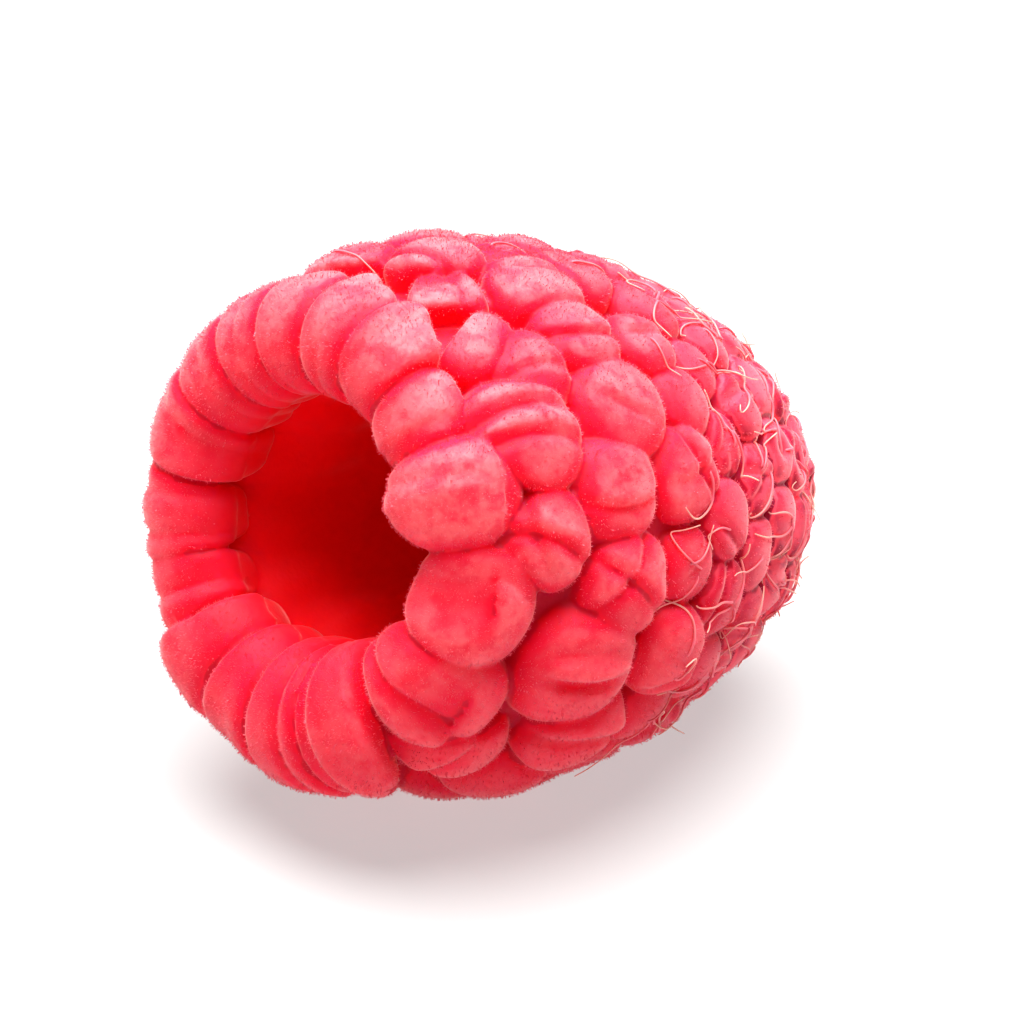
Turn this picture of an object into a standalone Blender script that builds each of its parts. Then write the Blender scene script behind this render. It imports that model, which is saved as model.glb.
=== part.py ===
"""A ripe raspberry, picked clean off its stalk and lying on its side.

The fruit grew as one piece: a thick-walled thimble whose outside is crowded with drupelets, each
one a small rounded sac of juice. The stalk's core stayed on the plant, so the thimble is hollow
and open at the mouth. The mouth faces -Y and a little upwards, the blunt tip points to +Y, and the
lowest drupelets are pressed flat where they carry the fruit, at Z = 0.
"""

import math

import bmesh
import bpy
import numpy as np
from mathutils import Matrix, Vector

MM = 0.001

# The seat is the turned surface of flesh that the drupelets sit on. Its outline is given as radius
# from the fruit's own axis and depth from the front of the mouth.
RIM_RADIUS = 6.8 * MM          # from the axis to the middle of the rim
RIM_DEPTH = 2.5 * MM           # from the front of the mouth to the middle of the rim
RIM_ROUND = 0.9 * MM           # radius of the rim's own rounding, under the drupelets
FLANK = [(8.75 * MM, 5.6 * MM), (9.05 * MM, 8.8 * MM), (8.6 * MM, 12.4 * MM),
         (7.3 * MM, 16.4 * MM), (5.3 * MM, 20.0 * MM), (3.0 * MM, 22.4 * MM), (0.0, 23.5 * MM)]
HOLLOW = [(4.9 * MM, 5.4 * MM), (4.6 * MM, 8.5 * MM), (4.0 * MM, 12.0 * MM),
          (2.6 * MM, 14.8 * MM), (0.0, 15.8 * MM)]
OUTLINE_STEPS = 3              # line pieces between two outline points
TURNED_SIDES = 24
RIM_FACETS = (8, 9)            # faces around and along a drupelet on the rim
ROUND_FACETS = (8, 6)          # faces around and up a round drupelet

# The drupelets that wrap over the rim, side by side: angle in degrees, then the middle's distance
# over the seat from the rim's front, half of the length and the height, in mm
RIM_DRUPELETS = [(1, 0.8, 2.5, 1.9), (27, 0.4, 2.4, 1.6), (46, 0.4, 3.1, 1.5), (66, 0.3, 3.2, 1.4),
                 (93, 0.3, 3.3, 1.4), (117, 0.3, 3.4, 1.4), (141, 0.3, 3.2, 1.5), (170, 0.2, 3.0, 1.4),
                 (191, 0.2, 3.0, 1.4), (212, 0.3, 2.8, 1.5), (234, 0.4, 3.3, 1.5), (253, 0.5, 3.5, 1.6),
                 (279, 0.6, 3.6, 1.6), (307, 1.1, 2.9, 1.8), (334, 1.3, 2.5, 1.8)]
RIM_SINK = 0.3 * MM            # depth of its middle below the seat
RIM_ROOT = 0.7 * MM            # depth of its underside below the seat

# The biggest drupelets of one flank, set by hand: distance over the seat from the rim's front in
# mm, angle in degrees and width in mm
SET_DRUPELETS = [(3.2, 14, 3.9), (4.6, 30, 2.9), (3.5, 43, 2.5), (5.2, 70, 3.1), (3.9, 88, 3.2),
                 (3.5, -9, 3.2), (3.7, -67, 3.7), (6.5, 0, 3.2), (7.7, 17, 3.3), (7.3, 36, 2.9),
                 (7.1, 52, 3.3), (7.0, -21, 3.2), (6.0, -41, 3.8), (7.4, -61, 3.6), (10.1, -39, 3.1),
                 (10.3, -19, 2.3), (10.2, 2, 3.0), (11.1, 18, 2.5), (10.4, 33, 2.5)]

# The others fill the flank and the tip. Each pair is a distance over the seat and the width there.
WIDTHS = [(4.0, 3.7), (8.0, 3.15), (12.0, 2.75), (16.0, 2.5), (20.0, 2.3), (24.0, 2.1)]
FIRST_ROW = 3.8 * MM           # distance from the front of the rim to the first row
ROW_PITCH = 0.86               # spacing of staggered rows, in widths
STRAY = 0.12                   # stray from an even spacing, in widths
CROWDED = 0.78                 # one closer than this to a drupelet set by hand is left out, in widths
SIDE_SWELL = 0.585             # half width, in widths, so that neighbours press together
HEIGHT = 0.39                  # height over the seat, in widths
SINK = 0.10                    # depth of a drupelet's middle below the seat, in widths
SETTLE_ROUNDS = 60             # passes that even out the crowding
SEED = 11

# How the fruit lies
LEAN = math.radians(13.5)      # fall of the axis towards the tip
TURN = math.radians(26.0)      # turn of the fruit about its own axis
PRESSED = 0.27 * MM            # depth of the flats under the lowest drupelets
GROUND = 40 * MM               # side of the block that presses them flat

FLESH = (0.79, 0.03, 0.07, 1.0)


def clear_scene():
    for item in list(bpy.data.objects):
        bpy.data.objects.remove(item)


def smooth_line(points, steps):
    """Points on a smooth curve through every given point."""
    ends = [points[0]] + list(points) + [points[-1]]
    line = []
    for a, b, c, d in zip(ends, ends[1:], ends[2:], ends[3:]):
        a, b, c, d = (np.array(p) for p in (a, b, c, d))
        for t in np.arange(steps) / steps:
            line.append(b + 0.5 * t * (c - a + t * (2 * a - 5 * b + 4 * c - d + t * (3 * b - a - 3 * c + d))))
    line.append(np.array(points[-1]))
    return np.array(line)


def seat_outline(steps):
    """The seat's outline from the hollow's end, over the rim, to the tip."""
    turn = np.linspace(math.pi, 0, 2 * steps + 1)
    rim = np.column_stack([RIM_RADIUS + RIM_ROUND * np.cos(turn), RIM_DEPTH - RIM_ROUND * np.sin(turn)])
    inner = smooth_line([tuple(rim[0])] + HOLLOW, steps)[::-1]
    outer = smooth_line([tuple(rim[-1])] + FLANK, steps)
    return np.vstack([inner[:-1], rim, outer[1:]])


class Seat:
    """The seat, read by the distance over it from the front of the rim: outside is positive."""

    def __init__(self, steps=40):
        self.outline = seat_outline(steps)
        lengths = np.linalg.norm(np.diff(self.outline, axis=0), axis=1)
        along = np.concatenate([[0.0], np.cumsum(lengths)])
        self.along = along - along[np.argmin(self.outline[:, 1])]
        self.tip = self.along[-1]
        slope = np.gradient(self.outline, self.along, axis=0)
        self.slope = slope / np.linalg.norm(slope, axis=1)[:, None]

    def read(self, table, along):
        return np.column_stack([np.interp(along, self.along, column) for column in table.T])

    def radius(self, along):
        return float(np.interp(along, self.along, self.outline[:, 0]))

    def point(self, along, angle, height=0.0):
        """Positions over the seat, with the fruit's axis on Z and the front of the mouth at 0.

        Angles run anticlockwise as seen looking into the mouth.
        """
        slope = self.read(self.slope, along)
        outward = np.column_stack([slope[:, 1], -slope[:, 0]])
        place = self.read(self.outline, along) + outward * np.reshape(height, (-1, 1))
        return np.column_stack([place[:, 0] * np.cos(angle), -place[:, 0] * np.sin(angle), place[:, 1]])

    def nearest(self, spots):
        """Distance over the flank and angle of the seat points nearest to some positions."""
        flank = self.along >= 0
        across = np.hypot(spots[:, 0], spots[:, 1])
        reach = np.hypot(across[:, None] - self.outline[flank, 0], spots[:, 2:] - self.outline[flank, 1])
        return self.along[flank][reach.argmin(axis=1)], np.arctan2(-spots[:, 1], spots[:, 0])


def width_at(along):
    """Drupelets get smaller towards the tip."""
    distance, width = np.array(WIDTHS).T * MM
    return np.interp(along, distance, width)


def turn_to_next(angle):
    """The turn from each drupelet of a row to the next one round."""
    return (np.roll(angle, -1) - angle) % (2 * math.pi)


def crowd(seat):
    """Distance over the seat, angle and width of each drupelet on the flank and the tip.

    Each row stands in the gaps of the row before it. Where the seat gets too narrow for as many
    drupelets, the next row is spaced out anew. The ones set by hand stand in for those near them.
    """
    rng = np.random.default_rng(SEED)
    placed = np.array(SET_DRUPELETS) * [MM, math.radians(1), MM]
    placed_spots = seat.point(placed[:, 0], placed[:, 1])
    rows = []
    angle = np.radians([drupelet[0] for drupelet in RIM_DRUPELETS])
    along = FIRST_ROW
    while along < seat.tip - width_at(seat.tip) / 2:
        width = float(width_at(along))
        count = round(2 * math.pi * seat.radius(along) / width)
        if abs(count - len(angle)) > 1:
            angle = angle[0] + 2 * math.pi * np.arange(count) / count
        angle = angle + turn_to_next(angle) / 2
        stray = rng.uniform(-STRAY, STRAY, (2, len(angle))) * width
        spots = seat.point(along + stray[0], angle + stray[1] / seat.radius(along))
        apart = np.linalg.norm(spots[:, None] - placed_spots, axis=2)
        rows.append(spots[(apart > CROWDED * (width + placed[:, 2]) / 2).all(axis=1)])
        along += ROW_PITCH * width
    rows.append(seat.point(np.array([seat.tip]), 0.0))
    return settle(seat, placed, np.vstack(rows))


def settle(seat, placed, spots):
    """Drupelets that are too close push each other apart over the seat, but not those set by hand."""
    placed_spots = seat.point(placed[:, 0], placed[:, 1])
    for _ in range(SETTLE_ROUNDS):
        along, angle = seat.nearest(spots)
        along = np.maximum(along, FIRST_ROW - STRAY * width_at(FIRST_ROW))
        spots = np.vstack([placed_spots, seat.point(along, angle)])
        width = np.append(placed[:, 2], width_at(along))
        away = spots[:, None] - spots[None]
        apart = np.linalg.norm(away, axis=2) + np.eye(len(spots))
        push = np.clip((width[:, None] + width) / 2 - apart, 0, None) / apart
        np.fill_diagonal(push, 0)
        spots = spots + 0.25 * (push[:, :, None] * away).sum(axis=1)
        spots = spots[len(placed):]
    along, angle = seat.nearest(spots)
    return np.vstack([placed, np.column_stack([along, angle, width_at(along)])])


def unit_ball(facets, pole):
    """Points and faces of a ball of radius 1 whose poles lie on the given axis."""
    ball = bmesh.new()
    bmesh.ops.create_uvsphere(ball, u_segments=facets[0], v_segments=facets[1], radius=1.0)
    bmesh.ops.rotate(ball, verts=ball.verts, matrix=Vector((0, 0, 1)).rotation_difference(pole).to_matrix())
    points = np.array([vert.co[:] for vert in ball.verts])
    faces = [[vert.index for vert in face.verts] for face in ball.faces]
    ball.free()
    return points, faces


def add_shape(mesh, points, faces):
    verts = [mesh.verts.new(point) for point in points]
    for face in faces:
        mesh.faces.new([verts[k] for k in face])


def add_rim_drupelets(mesh, seat):
    """Long drupelets bent over the rim, from the flank into the mouth."""
    points, faces = unit_ball(RIM_FACETS, Vector((1, 0, 0)))
    drupelets = np.array(RIM_DRUPELETS) * [math.radians(1), MM, MM, MM]
    after = turn_to_next(drupelets[:, 0])
    for (angle, middle, reach, rise), gap_before, gap_after in zip(drupelets, np.roll(after, 1), after):
        half_width = SIDE_SWELL * np.where(points[:, 1] < 0, gap_before, gap_after)
        height = np.maximum((rise + RIM_SINK) * points[:, 2] - RIM_SINK, -RIM_ROOT)
        around = angle + half_width * points[:, 1]
        add_shape(mesh, seat.point(middle + reach * points[:, 0], around, height), faces)


def add_flank_drupelets(mesh, seat):
    """Round drupelets that each stand square on the seat."""
    points, faces = unit_ball(ROUND_FACETS, Vector((0, 0, 1)))
    for along, angle, width in crowd(seat):
        middle, above = seat.point(np.array([along, along]), angle, [-SINK * width, 0.0])
        around = np.array([-math.sin(angle), -math.cos(angle), 0.0])
        outward = (above - middle) / np.linalg.norm(above - middle)
        frame = np.array([np.cross(around, outward), around, outward])
        half = SIDE_SWELL * width
        size = np.array([half, half, (HEIGHT + SINK) * width])
        add_shape(mesh, middle + (points * size) @ frame, faces)


def new_object(name, mesh, collection):
    item = bpy.data.objects.new(name, mesh)
    collection.objects.link(item)
    return item


def flesh_material():
    """Ripe raspberry skin: crimson, soft and slightly downy, so it isn't glossy."""
    material = bpy.data.materials.new("raspberry_flesh")
    material.use_nodes = True
    shader = material.node_tree.nodes["Principled BSDF"]
    shader.inputs["Base Color"].default_value = FLESH
    shader.inputs["Roughness"].default_value = 0.5
    shader.inputs["Metallic"].default_value = 0.0
    return material


def turned_thimble(collection):
    """The thick wall, turned from the seat's outline about Z."""
    outline = seat_outline(OUTLINE_STEPS)
    mesh = bpy.data.meshes.new("thimble_outline")
    verts = [(radius, 0.0, depth) for radius, depth in outline[::-1]]
    mesh.from_pydata(verts, [(k, k + 1) for k in range(len(verts) - 1)], [])
    thimble = new_object("thimble", mesh, collection)
    screw = thimble.modifiers.new("turn", "SCREW")
    screw.steps = TURNED_SIDES
    screw.render_steps = TURNED_SIDES
    screw.use_merge_vertices = True
    screw.merge_threshold = 0.01 * MM
    return thimble


def ground_block(collection):
    """A block whose top is the surface that the fruit lies on, Z = 0."""
    mesh = bpy.data.meshes.new("ground")
    block = bmesh.new()
    bmesh.ops.create_cube(block, size=GROUND, matrix=Matrix.Translation((0, 0, -GROUND / 2)))
    block.to_mesh(mesh)
    block.free()
    return new_object("ground", mesh, collection)


def lying_pose(points):
    """Turn the fruit onto its side and lower it until its lowest drupelets press on Z = 0."""
    turned = Matrix.Rotation(-math.pi / 2 - LEAN, 4, "X") @ Matrix.Rotation(-TURN, 4, "Z")
    placed = points @ np.array(turned.to_3x3()).T
    low, high = placed.min(axis=0), placed.max(axis=0)
    shift = Vector((-(low[0] + high[0]) / 2, -(low[1] + high[1]) / 2, -low[2] - PRESSED))
    return Matrix.Translation(shift) @ turned


def loose_drupelets(collection):
    """Every drupelet in one object, lying as the fruit lies, before they are joined."""
    seat = Seat()
    shapes = bmesh.new()
    add_rim_drupelets(shapes, seat)
    add_flank_drupelets(shapes, seat)
    bmesh.ops.recalc_face_normals(shapes, faces=shapes.faces)
    points = np.array([vert.co[:] for vert in shapes.verts])
    mesh = bpy.data.meshes.new("raspberry")
    shapes.to_mesh(mesh)
    shapes.free()
    mesh.materials.append(flesh_material())
    mesh.shade_smooth()
    drupelets = new_object("raspberry", mesh, collection)
    drupelets.matrix_world = lying_pose(points)
    return drupelets


def add_boolean(item, name, operation, cutter):
    step = item.modifiers.new(name, "BOOLEAN")
    step.operation = operation
    step.object = cutter
    step.solver = "EXACT"
    return step


def main():
    clear_scene()
    fruit = bpy.data.collections.new("raspberry_fruit")
    cutters = bpy.data.collections.new("cutters")
    for collection in (fruit, cutters):
        bpy.context.scene.collection.children.link(collection)

    raspberry = loose_drupelets(fruit)
    thimble = turned_thimble(cutters)
    thimble.matrix_world = raspberry.matrix_world
    ground = ground_block(cutters)
    for cutter in (thimble, ground):
        cutter.hide_render = True
        cutter.display_type = "WIRE"

    add_boolean(raspberry, "grow_together", "UNION", thimble).use_self = True
    add_boolean(raspberry, "press_flat", "DIFFERENCE", ground)


main()
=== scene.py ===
"""The looks of a ripe raspberry, picked off its stalk and lying on its side on a pale table.

The fruit is one closed skin. Its drupelets are small balloons that press each other flat where they
touch and crease, dimple and fold like ripe ones, and they are grown together on the wall of a
hollow thimble. Dried styles and a pale down stand on the skin.
"""

import math

import bmesh
import bpy
import numpy as np
from mathutils import Matrix, Vector
from mathutils.bvhtree import BVHTree


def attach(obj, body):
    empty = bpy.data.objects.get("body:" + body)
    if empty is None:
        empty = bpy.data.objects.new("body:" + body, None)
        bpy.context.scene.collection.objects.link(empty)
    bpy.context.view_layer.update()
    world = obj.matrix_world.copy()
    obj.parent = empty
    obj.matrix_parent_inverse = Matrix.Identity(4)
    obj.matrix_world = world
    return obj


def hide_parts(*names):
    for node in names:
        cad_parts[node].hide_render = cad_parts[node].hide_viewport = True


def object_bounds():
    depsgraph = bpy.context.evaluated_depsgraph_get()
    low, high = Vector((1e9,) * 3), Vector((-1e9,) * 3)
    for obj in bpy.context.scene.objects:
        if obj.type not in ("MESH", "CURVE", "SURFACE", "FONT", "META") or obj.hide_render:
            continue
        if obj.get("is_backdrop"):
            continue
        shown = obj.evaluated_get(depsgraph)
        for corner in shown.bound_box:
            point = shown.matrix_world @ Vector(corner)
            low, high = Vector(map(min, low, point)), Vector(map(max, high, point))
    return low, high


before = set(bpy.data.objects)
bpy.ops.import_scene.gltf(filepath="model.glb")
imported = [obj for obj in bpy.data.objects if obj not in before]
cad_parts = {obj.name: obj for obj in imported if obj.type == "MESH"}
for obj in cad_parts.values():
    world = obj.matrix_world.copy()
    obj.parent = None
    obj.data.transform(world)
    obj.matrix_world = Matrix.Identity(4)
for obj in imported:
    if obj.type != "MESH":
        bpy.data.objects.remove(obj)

MM = 0.001
cad_low, cad_high = (np.array(corner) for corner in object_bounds())

# The seat: the turned surface of flesh under the drupelets, as radius from the fruit's axis and
# depth from the front of the mouth
RIM_RADIUS = 6.8 * MM
RIM_DEPTH = 2.5 * MM
RIM_ROUND = 0.9 * MM
FLANK = [(8.75 * MM, 5.6 * MM), (9.05 * MM, 8.8 * MM), (8.6 * MM, 12.4 * MM),
         (7.3 * MM, 16.4 * MM), (5.3 * MM, 20.0 * MM), (3.0 * MM, 22.4 * MM), (0.0, 23.5 * MM)]
HOLLOW = [(4.9 * MM, 5.4 * MM), (4.6 * MM, 8.5 * MM), (4.0 * MM, 12.0 * MM),
          (2.6 * MM, 14.8 * MM), (0.0, 15.8 * MM)]

# The drupelets that wrap over the rim, side by side: angle in degrees, then the middle's distance
# over the seat from the rim's front, half of the length and the height, in mm, and last how much it
# narrows and sinks towards the mouth
RIM_DRUPELETS = [(4, 0.3, 2.8, 2.0, 0.28), (27, 0.0, 1.7, 1.4, 0.28), (47, 0.9, 3.0, 1.6, 0.4),
                 (66, 0.5, 3.2, 1.5, 0.4), (84, 0.4, 3.2, 1.5, 0.4), (102, 0.3, 3.2, 1.5, 0.4),
                 (121, 0.4, 3.3, 1.5, 0.5), (142, 0.5, 3.2, 1.6, 0.6), (169, 0.6, 2.8, 1.5, 0.75),
                 (191, 0.6, 2.8, 1.4, 0.75), (212, 0.3, 3.0, 1.9, 0.6), (233, 0.3, 3.5, 2.0, 0.3),
                 (253, 0.2, 3.8, 2.0, 0.0), (276, 0.3, 3.9, 2.0, 0.0), (307, 1.0, 2.7, 1.7, 0.0),
                 (334, 1.1, 2.45, 1.7, 0.28)]
RIM_SINK = 0.3 * MM            # a short one starts this far under the seat
LONG_LIFT = 0.35 * MM          # the long soft ones start over it and lie close, so only their tops part
LONG_ANGLES = (40, 290)        # where the long ones are, in degrees
RIM_UNROLL = 1.2 * MM          # they are shaped at this distance outside the rim's radius
MOUTH_NARROWING = 0.3          # how much one with a taper of 1 narrows towards the mouth
FLANK_NARROWING = 0.25         # how much the long ones narrow towards the flank
NARROWING_BEND = 1.5           # how late that begins: 1 is from the middle on, more is nearer the end
DEEPEST = -0.8 * RIM_ROUND     # nothing of them lies deeper in the rim than this

# How the flank's drupelets stop the ends of those on the rim
STOP_AHEAD = 0.35              # only one that lies ahead presses an end: this part of the way or more
STOP_REACH = 0.6               # and one that is nearer than this to the end, in its widths
STOP_SHORT = 0.52              # the end stops this far before its middle, in its widths
STOP_LEAST = 0.4               # but takes at least this part of the way

# The largest drupelets of one flank, listed one by one: distance over the seat from the rim's front in
# mm, angle in degrees and width in mm
SET_DRUPELETS = [(3.2, 14, 3.9), (4.6, 30, 2.9), (3.7, 58, 3.0), (5.3, 70, 3.3), (3.9, 89, 3.6),
                 (3.5, -9, 3.2), (2.7, -69, 3.6), (6.5, 0, 3.2), (7.7, 17, 3.3), (7.3, 36, 2.9),
                 (7.1, 52, 3.3), (7.0, -21, 3.2), (5.7, -41, 3.9), (7.4, -61, 3.6), (10.1, -39, 3.1),
                 (10.3, -19, 2.3), (10.2, 2, 3.0), (11.1, 18, 2.5), (10.4, 33, 2.5), (3.3, 40, 2.9),
                 (7.9, 69, 2.5), (10.4, -58, 2.7), (12.8, 28, 2.2), (12.8, 8, 2.2)]

# The others fill the flank and the tip, and get smaller towards the tip
WIDTHS = [(4.0, 3.7), (8.0, 3.15), (12.0, 2.75), (16.0, 2.5), (20.0, 2.3), (24.0, 2.1)]
FIRST_ROW = 3.8 * MM
ROW_PITCH = 0.86               # from row to row, in widths
STRAY = 0.12                   # how far one strays from its row, in widths
CROWDED = 0.78                 # one closer than this to a listed drupelet is left out, in widths
HEIGHT = 0.39                  # in widths, and it varies by HEIGHT_STRAY of itself
HEIGHT_STRAY = 0.06
SINK = 0.10                    # its middle lies this far under the seat, in widths
SETTLE_ROUNDS = 60
SETTLE_STEP = 0.25             # the part of the needed way that one moves in a round
SEED = 11                      # each kind of random draw has its own start, so many past this
RIM_DRAWS, ROUND_DRAWS, HOLLOW_DRAWS, DOWN_DRAWS, STYLE_DRAWS = 1000, 2000, 3000, 4000, 5000

# How they press together
FREE_SWELL = 0.66              # half width of a drupelet that nothing presses, in widths
RIM_SWELL = 0.68               # the same for a short drupelet of the rim
LONG_SWELL = 0.84              # the same for a long one
PLUMP = 2.3                    # 2 is an ellipsoid, more is boxier
RIM_PLUMP = 2.8
FIRM_RIM_PLUMP = 2.0
NEIGHBOUR = 0.8                # one presses another when nearer than this part of both their widths
PRESS = 1.02                   # how far past half way a drupelet pushes into its neighbour
PRESS_EDGE = 10.0              # sharpness of the edge round each pressed flat

# Low waves on every drupelet: how many, how tight and how deep, in parts of the drupelet
LUMPS = [(4, 2.4, 0.012), (3, 6.0, 0.004)]

# Marks on the skin of some drupelets, by their place in the two lists above. A fold is a groove
# across the drupelet: the direction it faces in degrees, its distance from the middle, its bend,
# its half length and its depth, in parts of the drupelet. A dent has a direction, a distance, a
# radius and a depth.
RIM_MARKS = {0: [("fold", 60, 0.25, -0.3, 0.8, 0.016), ("fold", 100, -0.2, 0.2, 0.6, 0.010)],
             1: [("fold", 80, -0.3, 0.2, 0.7, 0.02)],
             2: [("fold", 60, 0.1, 0.1, 0.8, 0.025)],
             3: [("fold", 88, -0.05, 0.15, 1.2, 0.03)],
             4: [("fold", 90, 0.25, -0.1, 1.2, 0.02)],
             5: [("fold", 90, 0.05, -0.1, 1.2, 0.03)],
             6: [("fold", 90, -0.1, 0.1, 1.2, 0.03)],
             7: [("dent", 180, 0.25, 0.28, 0.12), ("fold", 90, -0.2, 0.4, 0.9, 0.03)],
             8: [("fold", 90, 0.25, 0.3, 0.8, 0.06), ("fold", 95, -0.35, -0.2, 0.7, 0.04)],
             9: [("fold", 90, 0.0, 0.5, 0.9, 0.05), ("dent", 180, 0.35, 0.25, 0.08)],
             12: [("fold", 90, 0.25, 0.1, 1.2, 0.05)],
             13: [("fold", 90, -0.3, 0.1, 1.2, 0.05)],
             14: [("dent", 250, 0.10, 0.28, 0.13), ("dent", 100, 0.30, 0.25, 0.08),
                  ("fold", 250, 0.15, 0.3, 0.8, 0.05)],
             15: [("dent", 150, 0.30, 0.46, 0.20), ("fold", 80, 0.55, -0.5, 0.7, 0.04)]}
SET_MARKS = {0: [("fold", 95, 0.40, -0.30, 0.9, 0.05), ("fold", 88, -0.05, -0.25, 0.9, 0.04)],
             1: [("fold", 90, -0.1, -0.2, 0.9, 0.03)],
             5: [("fold", 70, 0.0, -0.3, 0.8, 0.06), ("fold", 20, -0.25, 0.2, 0.7, 0.04)],
             7: [("fold", 90, -0.38, 0.35, 0.7, 0.055)],
             8: [("fold", 60, -0.15, 0.2, 0.7, 0.025)],
             9: [("fold", 85, -0.2, 0.2, 0.9, 0.06)],
             10: [("fold", 70, 0.2, 0.2, 0.8, 0.03)],
             11: [("fold", 55, 0.05, -0.1, 0.9, 0.06), ("fold", 140, 0.2, 0.2, 0.8, 0.05)],
             12: [("fold", 90, -0.05, 0.12, 0.6, 0.085), ("fold", 90, 0.5, -0.4, 0.8, 0.03)],
             13: [("fold", 90, 0.25, -0.2, 1.0, 0.05)],
             16: [("fold", 30, 0.1, 0.3, 0.8, 0.06), ("fold", 110, -0.1, 0.2, 0.7, 0.04)]}

GROOVE = 0.095                 # half width of a fold's groove, in parts of the drupelet
BANK = (0.45, 0.22, 0.15)      # the low swell beside it: height in grooves, distance and half width
FOLD_STRENGTH = 2.6            # the depths above are made this much deeper
DENT_STRENGTH = 2.0
OWN_DENT = 0.35                # the share of the other drupelets that have a dent
OWN_FOLDS = 3                  # they have fewer folds than this

# The firm ones keep their round shape and stand out over their softer neighbours
RIM_FIRM = [0, 14, 15]
SET_FIRM = [0, 7, 8, 12]
FIRM_PRESS = 1.22              # in place of PRESS

# The bumps and flutes that the stalk's core has printed on the wall of the hollow
FLUTES = 15
FLUTE_DEPTH = 0.10 * MM
FLUTE_SWAY = (1.5, 2.2 * MM)   # how far they sway, as an angle of their wave, and over what length
BUMPS = 12
BUMP_DEPTH = 0.035 * MM
ANY_START = 6.3                # a wave begins anywhere in its full turn
WALL_SINK = 0.05 * MM          # the whole wall lies this far under the seat

# How the fruit lies
LEAN = math.radians(13.5)
TURN = math.radians(26.0)
PRESSED = 0.27 * MM            # how far the table has flattened it

# Where the skin changes. Each pair is where a change starts and where it is full
MOUTH_EDGE = 1.2 * MM          # the wall of the hollow begins at this depth
HOLLOW_END = 17.0 * MM         # and every point of it lies before this one
BARE_RADIUS = (6.9 * MM, 6.3 * MM)
HOLLOW_RADIUS = (6.6 * MM, 5.2 * MM)
HOLLOW_DEPTH = (MOUTH_EDGE, 3.6 * MM)
TIP_DEPTH = (10.0 * MM, 17.0 * MM)
FOOT = (0.62, 0.32)            # height of a drupelet's foot, in parts of its height
FOOT_CREASE = 0.32             # a foot counts as a crease by this much, so the painted crease shade reaches over it
# The swell mask below sets where the pale down colour lies: partly down, partly a painted highlight on the
# drupelets' raised tops
SWELL_CURVE = (0.02, -0.24)
SWELL_BESIDE = (0.14, 0.0)     # creases near a point take from its swell
SWELL_SHARES = (0.6, 0.4)      # the parts of the swell that come from the two above
SWELL_RAISED = (0.35, 0.70)
PAINTED_SHADE_HEIGHT = (4.0 * MM, 14.0 * MM)  # over the table: below these heights the pale down colour is thinned, as painted shade
SHADED_UNDERSIDE_DOWN = 0.35          # the share of the pale down colour that the underside keeps, as painted shade
DOWN_RADIUS = (5.6 * MM, 7.2 * MM)
MOUTH_DOWN = 0.2               # the share that the mouth's inner edge keeps
EVEN_ROUNDS = 4                # rounds of evening out with the points next to each point

SKIN_VOXEL = 0.09 * MM
SKIN_TRIANGLES = 190000
SWELL_ROUNDS = 20

# The down
DOWN_HAIRS = 95000
DOWN_LENGTH = (0.05 * MM, 0.15 * MM)
DOWN_HALF_WIDTH = 0.0022 * MM
DOWN_LEAN = 0.28
DOWN_DROOP = 0.5
DOWN_BEND = 0.55               # where along it a hair bends
DOWN_ROOT = 0.03 * MM          # how deep in the skin it starts
DOWN_LOWEST = 0.3 * MM         # no hair starts lower than this over the table

# The dried styles
STYLE_LENGTH = (1.6, 3.8)      # in mm
STYLE_RADIUS = (0.042, 0.065)  # in mm
STYLE_THIN_END = 0.45          # radius at the end, in parts of that at the root
STYLE_STAND = 12 * MM          # the ends stand off the skin by up to a sixteenth of this
STYLE_STEPS = 16
STYLE_SIDES = 5
STYLE_CURL = 0.6 / MM          # spread of the turn of a whole style, and of its wander
STYLE_WANDER = 0.5 / MM
STYLE_ROOT = 0.05 * MM         # how deep in the skin one starts
STYLE_NECK = 0.12 * MM         # how high it rises before it turns
STYLE_HEIGHT = 0.08 * MM       # how high over the skin or the table it runs
STYLE_CLEAR = 0.05 * MM        # how near the skin it may come when it is evened out
STYLE_ZONE = (8.0 * MM, 12.0 * MM)  # over the seat: few before the first, many after the second
STYLES_MOST = 5
STYLE_CHANCES = (0.02, 0.50)   # the chance of each of them anywhere, and what the tip's zone adds


def share(values, start, full):
    """How far the values are from where a change starts to where it is full, from 0 to 1."""
    return np.clip((values - start) / (full - start), 0, 1)


def smooth_line(points, steps):
    """Points on a smooth curve through every given point."""
    ends = [points[0]] + list(points) + [points[-1]]
    line = []
    for a, b, c, d in zip(ends, ends[1:], ends[2:], ends[3:]):
        a, b, c, d = (np.array(p) for p in (a, b, c, d))
        for t in np.arange(steps) / steps:
            pull = 2 * a - 5 * b + 4 * c - d + t * (3 * b - a - 3 * c + d)
            line.append(b + 0.5 * t * (c - a + t * pull))
    line.append(np.array(points[-1]))
    return np.array(line)


def seat_outline(steps):
    """The seat's outline from the hollow's end, over the rim, to the tip."""
    turn = np.linspace(math.pi, 0, 2 * steps + 1)
    rim = np.column_stack([RIM_RADIUS + RIM_ROUND * np.cos(turn), RIM_DEPTH - RIM_ROUND * np.sin(turn)])
    inner = smooth_line([tuple(rim[0])] + HOLLOW, steps)[::-1]
    outer = smooth_line([tuple(rim[-1])] + FLANK, steps)
    return np.vstack([inner[:-1], rim, outer[1:]])


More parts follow.
